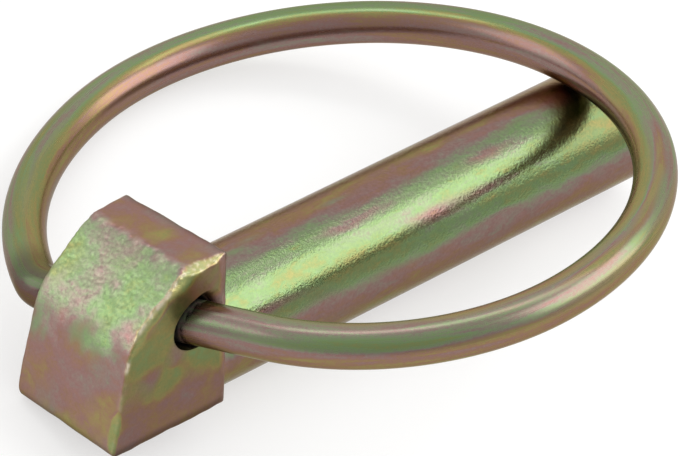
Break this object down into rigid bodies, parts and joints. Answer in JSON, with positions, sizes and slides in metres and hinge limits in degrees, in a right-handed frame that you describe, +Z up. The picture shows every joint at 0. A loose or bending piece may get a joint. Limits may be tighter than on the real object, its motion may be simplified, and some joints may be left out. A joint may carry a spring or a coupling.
{
  "type": "lynch pin",
  "caption": "Lynch pin: a plain round locking pin with a forged offset head and a spring-wire ring, hinged in a slanting hole through the head, that closes over the tip.",
  "frame": {"origin": "on the pin's axis, in the plane of the head's back face, where the pin starts", "axes": "+X along the pin, from the head to the tip; +Z up, square to the surface on which the piece lies; +Y towards the ring's low side"},
  "size_m": [0.0643, 0.0532, 0.0224],
  "materials": {
    "forged_zinc": "forged steel, zinc plated, yellow iridescent chromate",
    "wire_zinc": "bright spring wire, zinc plated, yellow iridescent chromate"
  },
  "bodies": {
    "pin": {"pin": "forged_zinc"},
    "ring": {"ring": "wire_zinc"}
  },
  "joints": [
    {"name": "ring_hinge", "type": "hinge", "parent": "pin", "child": "ring", "pos_m": [-0.0047, 0.00122, 0.00454], "axis": [0.3357, -0.8744, 0.3502], "range_deg": [0, 335]}
  ]
}
